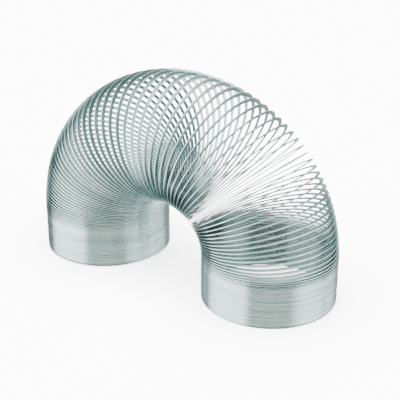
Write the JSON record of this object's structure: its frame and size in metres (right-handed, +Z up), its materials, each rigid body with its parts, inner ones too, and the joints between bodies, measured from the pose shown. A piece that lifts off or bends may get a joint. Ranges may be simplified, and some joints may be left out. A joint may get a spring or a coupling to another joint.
{
  "type": "spring coil toy",
  "caption": "Flat steel wire coil standing in an arch on its two closed ends, every open turn tilting on the one before it.",
  "frame": {"origin": "on the floor, midway between the two feet", "axes": "+Z up, +X from the left foot to the right foot, +Y to the back"},
  "size_m": [0.1792, 0.0702, 0.109],
  "materials": {
    "spring_steel": "bright, drawn flat wire"
  },
  "bodies": {
    "left_stack": {"left_stack": "spring_steel"},
    "turn_01": {"turn_01": "spring_steel"},
    "turn_02": {"turn_02": "spring_steel"},
    "turn_03": {"turn_03": "spring_steel"},
    "turn_04": {"turn_04": "spring_steel"},
    "turn_05": {"turn_05": "spring_steel"},
    "turn_06": {"turn_06": "spring_steel"},
    "turn_07": {"turn_07": "spring_steel"},
    "turn_08": {"turn_08": "spring_steel"},
    "turn_09": {"turn_09": "spring_steel"},
    "turn_10": {"turn_10": "spring_steel"},
    "turn_11": {"turn_11": "spring_steel"},
    "turn_12": {"turn_12": "spring_steel"},
    "turn_13": {"turn_13": "spring_steel"},
    "turn_14": {"turn_14": "spring_steel"},
    "turn_15": {"turn_15": "spring_steel"},
    "turn_16": {"turn_16": "spring_steel"},
    "turn_17": {"turn_17": "spring_steel"},
    "turn_18": {"turn_18": "spring_steel"},
    "turn_19": {"turn_19": "spring_steel"},
    "turn_20": {"turn_20": "spring_steel"},
    "turn_21": {"turn_21": "spring_steel"},
    "turn_22": {"turn_22": "spring_steel"},
    "turn_23": {"turn_23": "spring_steel"},
    "turn_24": {"turn_24": "spring_steel"},
    "turn_25": {"turn_25": "spring_steel"},
    "turn_26": {"turn_26": "spring_steel"},
    "turn_27": {"turn_27": "spring_steel"},
    "turn_28": {"turn_28": "spring_steel"},
    "turn_29": {"turn_29": "spring_steel"},
    "turn_30": {"turn_30": "spring_steel"},
    "turn_31": {"turn_31": "spring_steel"},
    "turn_32": {"turn_32": "spring_steel"},
    "turn_33": {"turn_33": "spring_steel"},
    "turn_34": {"turn_34": "spring_steel"},
    "turn_35": {"turn_35": "spring_steel"},
    "turn_36": {"turn_36": "spring_steel"},
    "turn_37": {"turn_37": "spring_steel"},
    "turn_38": {"turn_38": "spring_steel"},
    "turn_39": {"turn_39": "spring_steel"},
    "turn_40": {"turn_40": "spring_steel"},
    "turn_41": {"turn_41": "spring_steel"},
    "turn_42": {"turn_42": "spring_steel"},
    "turn_43": {"turn_43": "spring_steel"},
    "turn_44": {"turn_44": "spring_steel"},
    "turn_45": {"turn_45": "spring_steel"},
    "turn_46": {"turn_46": "spring_steel"},
    "turn_47": {"turn_47": "spring_steel"},
    "turn_48": {"turn_48": "spring_steel"},
    "turn_49": {"turn_49": "spring_steel"},
    "turn_50": {"turn_50": "spring_steel"},
    "turn_51": {"turn_51": "spring_steel"},
    "turn_52": {"turn_52": "spring_steel"},
    "turn_53": {"turn_53": "spring_steel"},
    "turn_54": {"turn_54": "spring_steel"},
    "turn_55": {"turn_55": "spring_steel"},
    "turn_56": {"turn_56": "spring_steel"},
    "right_stack": {"right_stack": "spring_steel"}
  },
  "joints": [
    {"name": "turn_01_tilt", "type": "hinge", "parent": "left_stack", "child": "turn_01", "pos_m": [-0.02064, 0, 0.02629], "axis": [0, 1, 0], "range_deg": [-1.48, 0.18], "stiffness_Nm_per_rad": 5, "springref_deg": 0.23},
    {"name": "turn_02_tilt", "type": "hinge", "parent": "turn_01", "child": "turn_02", "pos_m": [-0.02052, 0, 0.02698], "axis": [0, 1, 0], "range_deg": [-1.53, 0.19], "stiffness_Nm_per_rad": 5, "springref_deg": 0.22},
    {"name": "turn_03_tilt", "type": "hinge", "parent": "turn_02", "child": "turn_03", "pos_m": [-0.02036, 0, 0.02768], "axis": [0, 1, 0], "range_deg": [-1.58, 0.19], "stiffness_Nm_per_rad": 5, "springref_deg": 0.22},
    {"name": "turn_04_tilt", "type": "hinge", "parent": "turn_03", "child": "turn_04", "pos_m": [-0.02017, 0, 0.02839], "axis": [0, 1, 0], "range_deg": [-1.65, 0.2], "stiffness_Nm_per_rad": 5, "springref_deg": 0.21},
    {"name": "turn_05_tilt", "type": "hinge", "parent": "turn_04", "child": "turn_05", "pos_m": [-0.01994, 0, 0.02911], "axis": [0, 1, 0], "range_deg": [-1.72, 0.21], "stiffness_Nm_per_rad": 5, "springref_deg": 0.2},
    {"name": "turn_06_tilt", "type": "hinge", "parent": "turn_05", "child": "turn_06", "pos_m": [-0.01967, 0, 0.02984], "axis": [0, 1, 0], "range_deg": [-1.79, 0.22], "stiffness_Nm_per_rad": 5, "springref_deg": 0.2},
    {"name": "turn_07_tilt", "type": "hinge", "parent": "turn_06", "child": "turn_07", "pos_m": [-0.01936, 0, 0.03056], "axis": [0, 1, 0], "range_deg": [-1.88, 0.23], "stiffness_Nm_per_rad": 5, "springref_deg": 0.19},
    {"name": "turn_08_tilt", "type": "hinge", "parent": "turn_07", "child": "turn_08", "pos_m": [-0.019, 0, 0.0313], "axis": [0, 1, 0], "range_deg": [-1.98, 0.24], "stiffness_Nm_per_rad": 5, "springref_deg": 0.18},
    {"name": "turn_09_tilt", "type": "hinge", "parent": "turn_08", "child": "turn_09", "pos_m": [-0.0186, 0, 0.03203], "axis": [0, 1, 0], "range_deg": [-2.08, 0.25], "stiffness_Nm_per_rad": 5, "springref_deg": 0.18},
    {"name": "turn_10_tilt", "type": "hinge", "parent": "turn_09", "child": "turn_10", "pos_m": [-0.01814, 0, 0.03276], "axis": [0, 1, 0], "range_deg": [-2.21, 0.27], "stiffness_Nm_per_rad": 5, "springref_deg": 0.17},
    {"name": "turn_11_tilt", "type": "hinge", "parent": "turn_10", "child": "turn_11", "pos_m": [-0.01763, 0, 0.03348], "axis": [0, 1, 0], "range_deg": [-2.34, 0.28], "stiffness_Nm_per_rad": 5, "springref_deg": 0.17},
    {"name": "turn_12_tilt", "type": "hinge", "parent": "turn_11", "child": "turn_12", "pos_m": [-0.01706, 0, 0.03419], "axis": [0, 1, 0], "range_deg": [-2.49, 0.3], "stiffness_Nm_per_rad": 5, "springref_deg": 0.16},
    {"name": "turn_13_tilt", "type": "hinge", "parent": "turn_12", "child": "turn_13", "pos_m": [-0.01644, 0, 0.03488], "axis": [0, 1, 0], "range_deg": [-2.66, 0.32], "stiffness_Nm_per_rad": 5, "springref_deg": 0.16},
    {"name": "turn_14_tilt", "type": "hinge", "parent": "turn_13", "child": "turn_14", "pos_m": [-0.01575, 0, 0.03555], "axis": [0, 1, 0], "range_deg": [-2.84, 0.34], "stiffness_Nm_per_rad": 5, "springref_deg": 0.15},
    {"name": "turn_15_tilt", "type": "hinge", "parent": "turn_14", "child": "turn_15", "pos_m": [-0.015, 0, 0.0362], "axis": [0, 1, 0], "range_deg": [-3.04, 0.37], "stiffness_Nm_per_rad": 5, "springref_deg": 0.15},
    {"name": "turn_16_tilt", "type": "hinge", "parent": "turn_15", "child": "turn_16", "pos_m": [-0.01418, 0, 0.03681], "axis": [0, 1, 0], "range_deg": [-3.26, 0.39], "stiffness_Nm_per_rad": 5, "springref_deg": 0.14},
    {"name": "turn_17_tilt", "type": "hinge", "parent": "turn_16", "child": "turn_17", "pos_m": [-0.01331, 0, 0.03737], "axis": [0, 1, 0], "range_deg": [-3.48, 0.42], "stiffness_Nm_per_rad": 5, "springref_deg": 0.14},
    {"name": "turn_18_tilt", "type": "hinge", "parent": "turn_17", "child": "turn_18", "pos_m": [-0.01237, 0, 0.0379], "axis": [0, 1, 0], "range_deg": [-3.72, 0.45], "stiffness_Nm_per_rad": 5, "springref_deg": 0.14},
    {"name": "turn_19_tilt", "type": "hinge", "parent": "turn_18", "child": "turn_19", "pos_m": [-0.01138, 0, 0.03837], "axis": [0, 1, 0], "range_deg": [-3.95, 0.47], "stiffness_Nm_per_rad": 5, "springref_deg": 0.13},
    {"name": "turn_20_tilt", "type": "hinge", "parent": "turn_19", "child": "turn_20", "pos_m": [-0.01034, 0, 0.03879], "axis": [0, 1, 0], "range_deg": [-4.16, 0.5], "stiffness_Nm_per_rad": 5, "springref_deg": 0.13},
    {"name": "turn_21_tilt", "type": "hinge", "parent": "turn_20", "child": "turn_21", "pos_m": [-0.00926, 0, 0.03914], "axis": [0, 1, 0], "range_deg": [-4.36, 0.53], "stiffness_Nm_per_rad": 5, "springref_deg": 0.13},
    {"name": "turn_22_tilt", "type": "hinge", "parent": "turn_21", "child": "turn_22", "pos_m": [-0.00815, 0, 0.03945], "axis": [0, 1, 0], "range_deg": [-4.52, 0.54], "stiffness_Nm_per_rad": 5, "springref_deg": 0.13},
    {"name": "turn_23_tilt", "type": "hinge", "parent": "turn_22", "child": "turn_23", "pos_m": [-0.00701, 0, 0.0397], "axis": [0, 1, 0], "range_deg": [-4.63, 0.56], "stiffness_Nm_per_rad": 5, "springref_deg": 0.12},
    {"name": "turn_24_tilt", "type": "hinge", "parent": "turn_23", "child": "turn_24", "pos_m": [-0.00585, 0, 0.0399], "axis": [0, 1, 0], "range_deg": [-4.69, 0.57], "stiffness_Nm_per_rad": 5, "springref_deg": 0.12},
    {"name": "turn_25_tilt", "type": "hinge", "parent": "turn_24", "child": "turn_25", "pos_m": [-0.00469, 0, 0.04005], "axis": [0, 1, 0], "range_deg": [-4.71, 0.57], "stiffness_Nm_per_rad": 5, "springref_deg": 0.12},
    {"name": "turn_26_tilt", "type": "hinge", "parent": "turn_25", "child": "turn_26", "pos_m": [-0.00352, 0, 0.04016], "axis": [0, 1, 0], "range_deg": [-4.68, 0.56], "stiffness_Nm_per_rad": 5, "springref_deg": 0.12},
    {"name": "turn_27_tilt", "type": "hinge", "parent": "turn_26", "child": "turn_27", "pos_m": [-0.00234, 0, 0.04022], "axis": [0, 1, 0], "range_deg": [-4.62, 0.56], "stiffness_Nm_per_rad": 5, "springref_deg": 0.12},
    {"name": "turn_28_tilt", "type": "hinge", "parent": "turn_27", "child": "turn_28", "pos_m": [-0.00117, 0, 0.04025], "axis": [0, 1, 0], "range_deg": [-4.53, 0.55], "stiffness_Nm_per_rad": 5, "springref_deg": 0.12},
    {"name": "turn_29_tilt", "type": "hinge", "parent": "turn_28", "child": "turn_29", "pos_m": [0.00001, 0, 0.04023], "axis": [0, 1, 0], "range_deg": [-4.42, 0.53], "stiffness_Nm_per_rad": 5, "springref_deg": 0.12},
    {"name": "turn_30_tilt", "type": "hinge", "parent": "turn_29", "child": "turn_30", "pos_m": [0.00118, 0, 0.04018], "axis": [0, 1, 0], "range_deg": [-4.29, 0.52], "stiffness_Nm_per_rad": 5, "springref_deg": 0.12},
    {"name": "turn_31_tilt", "type": "hinge", "parent": "turn_30", "child": "turn_31", "pos_m": [0.00234, 0, 0.04008], "axis": [0, 1, 0], "range_deg": [-4.16, 0.5], "stiffness_Nm_per_rad": 5, "springref_deg": 0.12},
    {"name": "turn_32_tilt", "type": "hinge", "parent": "turn_31", "child": "turn_32", "pos_m": [0.00349, 0, 0.03994], "axis": [0, 1, 0], "range_deg": [-4.02, 0.48], "stiffness_Nm_per_rad": 5, "springref_deg": 0.12},
    {"name": "turn_33_tilt", "type": "hinge", "parent": "turn_32", "child": "turn_33", "pos_m": [0.00463, 0, 0.03975], "axis": [0, 1, 0], "range_deg": [-3.89, 0.47], "stiffness_Nm_per_rad": 5, "springref_deg": 0.13},
    {"name": "turn_34_tilt", "type": "hinge", "parent": "turn_33", "child": "turn_34", "pos_m": [0.00576, 0, 0.03952], "axis": [0, 1, 0], "range_deg": [-3.75, 0.45], "stiffness_Nm_per_rad": 5, "springref_deg": 0.13},
    {"name": "turn_35_tilt", "type": "hinge", "parent": "turn_34", "child": "turn_35", "pos_m": [0.00686, 0, 0.03925], "axis": [0, 1, 0], "range_deg": [-3.62, 0.44], "stiffness_Nm_per_rad": 5, "springref_deg": 0.13},
    {"name": "turn_36_tilt", "type": "hinge", "parent": "turn_35", "child": "turn_36", "pos_m": [0.00794, 0, 0.03893], "axis": [0, 1, 0], "range_deg": [-3.5, 0.42], "stiffness_Nm_per_rad": 5, "springref_deg": 0.13},
    {"name": "turn_37_tilt", "type": "hinge", "parent": "turn_36", "child": "turn_37", "pos_m": [0.009, 0, 0.03856], "axis": [0, 1, 0], "range_deg": [-3.38, 0.41], "stiffness_Nm_per_rad": 5, "springref_deg": 0.13},
    {"name": "turn_38_tilt", "type": "hinge", "parent": "turn_37", "child": "turn_38", "pos_m": [0.01002, 0, 0.03815], "axis": [0, 1, 0], "range_deg": [-3.26, 0.39], "stiffness_Nm_per_rad": 5, "springref_deg": 0.14},
    {"name": "turn_39_tilt", "type": "hinge", "parent": "turn_38", "child": "turn_39", "pos_m": [0.01101, 0, 0.0377], "axis": [0, 1, 0], "range_deg": [-3.15, 0.38], "stiffness_Nm_per_rad": 5, "springref_deg": 0.14},
    {"name": "turn_40_tilt", "type": "hinge", "parent": "turn_39", "child": "turn_40", "pos_m": [0.01196, 0, 0.03721], "axis": [0, 1, 0], "range_deg": [-3.05, 0.37], "stiffness_Nm_per_rad": 5, "springref_deg": 0.14},
    {"name": "turn_41_tilt", "type": "hinge", "parent": "turn_40", "child": "turn_41", "pos_m": [0.01288, 0, 0.03667], "axis": [0, 1, 0], "range_deg": [-2.95, 0.36], "stiffness_Nm_per_rad": 5, "springref_deg": 0.15},
    {"name": "turn_42_tilt", "type": "hinge", "parent": "turn_41", "child": "turn_42", "pos_m": [0.01374, 0, 0.03611], "axis": [0, 1, 0], "range_deg": [-2.85, 0.34], "stiffness_Nm_per_rad": 5, "springref_deg": 0.15},
    {"name": "turn_43_tilt", "type": "hinge", "parent": "turn_42", "child": "turn_43", "pos_m": [0.01456, 0, 0.03551], "axis": [0, 1, 0], "range_deg": [-2.76, 0.33], "stiffness_Nm_per_rad": 5, "springref_deg": 0.15},
    {"name": "turn_44_tilt", "type": "hinge", "parent": "turn_43", "child": "turn_44", "pos_m": [0.01534, 0, 0.03488], "axis": [0, 1, 0], "range_deg": [-2.68, 0.32], "stiffness_Nm_per_rad": 5, "springref_deg": 0.16},
    {"name": "turn_45_tilt", "type": "hinge", "parent": "turn_44", "child": "turn_45", "pos_m": [0.01606, 0, 0.03422], "axis": [0, 1, 0], "range_deg": [-2.59, 0.31], "stiffness_Nm_per_rad": 5, "springref_deg": 0.16},
    {"name": "turn_46_tilt", "type": "hinge", "parent": "turn_45", "child": "turn_46", "pos_m": [0.01673, 0, 0.03355], "axis": [0, 1, 0], "range_deg": [-2.51, 0.3], "stiffness_Nm_per_rad": 5, "springref_deg": 0.17},
    {"name": "turn_47_tilt", "type": "hinge", "parent": "turn_46", "child": "turn_47", "pos_m": [0.01735, 0, 0.03285], "axis": [0, 1, 0], "range_deg": [-2.44, 0.29], "stiffness_Nm_per_rad": 5, "springref_deg": 0.17},
    {"name": "turn_48_tilt", "type": "hinge", "parent": "turn_47", "child": "turn_48", "pos_m": [0.01791, 0, 0.03214], "axis": [0, 1, 0], "range_deg": [-2.36, 0.28], "stiffness_Nm_per_rad": 5, "springref_deg": 0.18},
    {"name": "turn_49_tilt", "type": "hinge", "parent": "turn_48", "child": "turn_49", "pos_m": [0.01842, 0, 0.03142], "axis": [0, 1, 0], "range_deg": [-2.29, 0.28], "stiffness_Nm_per_rad": 5, "springref_deg": 0.18},
    {"name": "turn_50_tilt", "type": "hinge", "parent": "turn_49", "child": "turn_50", "pos_m": [0.01888, 0, 0.03069], "axis": [0, 1, 0], "range_deg": [-2.22, 0.27], "stiffness_Nm_per_rad": 5, "springref_deg": 0.19},
    {"name": "turn_51_tilt", "type": "hinge", "parent": "turn_50", "child": "turn_51", "pos_m": [0.01928, 0, 0.02996], "axis": [0, 1, 0], "range_deg": [-2.16, 0.26], "stiffness_Nm_per_rad": 5, "springref_deg": 0.19},
    {"name": "turn_52_tilt", "type": "hinge", "parent": "turn_51", "child": "turn_52", "pos_m": [0.01964, 0, 0.02922], "axis": [0, 1, 0], "range_deg": [-2.09, 0.25], "stiffness_Nm_per_rad": 5, "springref_deg": 0.2},
    {"name": "turn_53_tilt", "type": "hinge", "parent": "turn_52", "child": "turn_53", "pos_m": [0.01994, 0, 0.02849], "axis": [0, 1, 0], "range_deg": [-2.03, 0.25], "stiffness_Nm_per_rad": 5, "springref_deg": 0.2},
    {"name": "turn_54_tilt", "type": "hinge", "parent": "turn_53", "child": "turn_54", "pos_m": [0.0202, 0, 0.02777], "axis": [0, 1, 0], "range_deg": [-1.97, 0.24], "stiffness_Nm_per_rad": 5, "springref_deg": 0.21},
    {"name": "turn_55_tilt", "type": "hinge", "parent": "turn_54", "child": "turn_55", "pos_m": [0.0204, 0, 0.02705], "axis": [0, 1, 0], "range_deg": [-1.91, 0.23], "stiffness_Nm_per_rad": 5, "springref_deg": 0.22},
    {"name": "turn_56_tilt", "type": "hinge", "parent": "turn_55", "child": "turn_56", "pos_m": [0.02057, 0, 0.02635], "axis": [0, 1, 0], "range_deg": [-1.85, 0.22], "stiffness_Nm_per_rad": 5, "springref_deg": 0.22},
    {"name": "right_stack_tilt", "type": "hinge", "parent": "turn_56", "child": "right_stack", "pos_m": [0.02069, 0, 0.02565], "axis": [0, 1, 0], "range_deg": [-1.8, 0.22], "stiffness_Nm_per_rad": 5, "springref_deg": 0.23}
  ],
  "couplings": [
    {"joint": "turn_02_tilt", "follows": "turn_01_tilt", "ratio": 1.0344},
    {"joint": "turn_03_tilt", "follows": "turn_01_tilt", "ratio": 1.0718},
    {"joint": "turn_04_tilt", "follows": "turn_01_tilt", "ratio": 1.1135},
    {"joint": "turn_05_tilt", "follows": "turn_01_tilt", "ratio": 1.1601},
    {"joint": "turn_06_tilt", "follows": "turn_01_tilt", "ratio": 1.2132},
    {"joint": "turn_07_tilt", "follows": "turn_01_tilt", "ratio": 1.2715},
    {"joint": "turn_08_tilt", "follows": "turn_01_tilt", "ratio": 1.3363},
    {"joint": "turn_09_tilt", "follows": "turn_01_tilt", "ratio": 1.4095},
    {"joint": "turn_10_tilt", "follows": "turn_01_tilt", "ratio": 1.4919},
    {"joint": "turn_11_tilt", "follows": "turn_01_tilt", "ratio": 1.5834},
    {"joint": "turn_12_tilt", "follows": "turn_01_tilt", "ratio": 1.6843},
    {"joint": "turn_13_tilt", "follows": "turn_01_tilt", "ratio": 1.7975},
    {"joint": "turn_14_tilt", "follows": "turn_01_tilt", "ratio": 1.9226},
    {"joint": "turn_15_tilt", "follows": "turn_01_tilt", "ratio": 2.0591},
    {"joint": "turn_16_tilt", "follows": "turn_01_tilt", "ratio": 2.2046},
    {"joint": "turn_17_tilt", "follows": "turn_01_tilt", "ratio": 2.3569},
    {"joint": "turn_18_tilt", "follows": "turn_01_tilt", "ratio": 2.5165},
    {"joint": "turn_19_tilt", "follows": "turn_01_tilt", "ratio": 2.6715},
    {"joint": "turn_21_tilt", "follows": "turn_20_tilt", "ratio": 1.0467},
    {"joint": "turn_22_tilt", "follows": "turn_20_tilt", "ratio": 1.0845},
    {"joint": "turn_23_tilt", "follows": "turn_20_tilt", "ratio": 1.1116},
    {"joint": "turn_24_tilt", "follows": "turn_20_tilt", "ratio": 1.1271},
    {"joint": "turn_25_tilt", "follows": "turn_20_tilt", "ratio": 1.1311},
    {"joint": "turn_26_tilt", "follows": "turn_20_tilt", "ratio": 1.1247},
    {"joint": "turn_27_tilt", "follows": "turn_20_tilt", "ratio": 1.1095},
    {"joint": "turn_28_tilt", "follows": "turn_20_tilt", "ratio": 1.0875},
    {"joint": "turn_29_tilt", "follows": "turn_20_tilt", "ratio": 1.0605},
    {"joint": "turn_30_tilt", "follows": "turn_20_tilt", "ratio": 1.0297},
    {"joint": "turn_31_tilt", "follows": "turn_20_tilt", "ratio": 0.99836},
    {"joint": "turn_32_tilt", "follows": "turn_20_tilt", "ratio": 0.96521},
    {"joint": "turn_33_tilt", "follows": "turn_20_tilt", "ratio": 0.93298},
    {"joint": "turn_34_tilt", "follows": "turn_20_tilt", "ratio": 0.9012},
    {"joint": "turn_35_tilt", "follows": "turn_20_tilt", "ratio": 0.86975},
    {"joint": "turn_36_tilt", "follows": "turn_20_tilt", "ratio": 0.83979},
    {"joint": "turn_37_tilt", "follows": "turn_20_tilt", "ratio": 0.81102},
    {"joint": "turn_38_tilt", "follows": "turn_20_tilt", "ratio": 0.78346},
    {"joint": "turn_40_tilt", "follows": "turn_39_tilt", "ratio": 0.96677},
    {"joint": "turn_41_tilt", "follows": "turn_39_tilt", "ratio": 0.9351},
    {"joint": "turn_42_tilt", "follows": "turn_39_tilt", "ratio": 0.90481},
    {"joint": "turn_43_tilt", "follows": "turn_39_tilt", "ratio": 0.87575},
    {"joint": "turn_44_tilt", "follows": "turn_39_tilt", "ratio": 0.84816},
    {"joint": "turn_45_tilt", "follows": "turn_39_tilt", "ratio": 0.82178},
    {"joint": "turn_46_tilt", "follows": "turn_39_tilt", "ratio": 0.79657},
    {"joint": "turn_47_tilt", "follows": "turn_39_tilt", "ratio": 0.77193},
    {"joint": "turn_48_tilt", "follows": "turn_39_tilt", "ratio": 0.74854},
    {"joint": "turn_49_tilt", "follows": "turn_39_tilt", "ratio": 0.72625},
    {"joint": "turn_50_tilt", "follows": "turn_39_tilt", "ratio": 0.70407},
    {"joint": "turn_51_tilt", "follows": "turn_39_tilt", "ratio": 0.68325},
    {"joint": "turn_52_tilt", "follows": "turn_39_tilt", "ratio": 0.66284},
    {"joint": "turn_53_tilt", "follows": "turn_39_tilt", "ratio": 0.64315},
    {"joint": "turn_54_tilt", "follows": "turn_39_tilt", "ratio": 0.624},
    {"joint": "turn_55_tilt", "follows": "turn_39_tilt", "ratio": 0.60591},
    {"joint": "turn_56_tilt", "follows": "turn_39_tilt", "ratio": 0.58734},
    {"joint": "right_stack_tilt", "follows": "turn_39_tilt", "ratio": 0.57039}
  ]
}
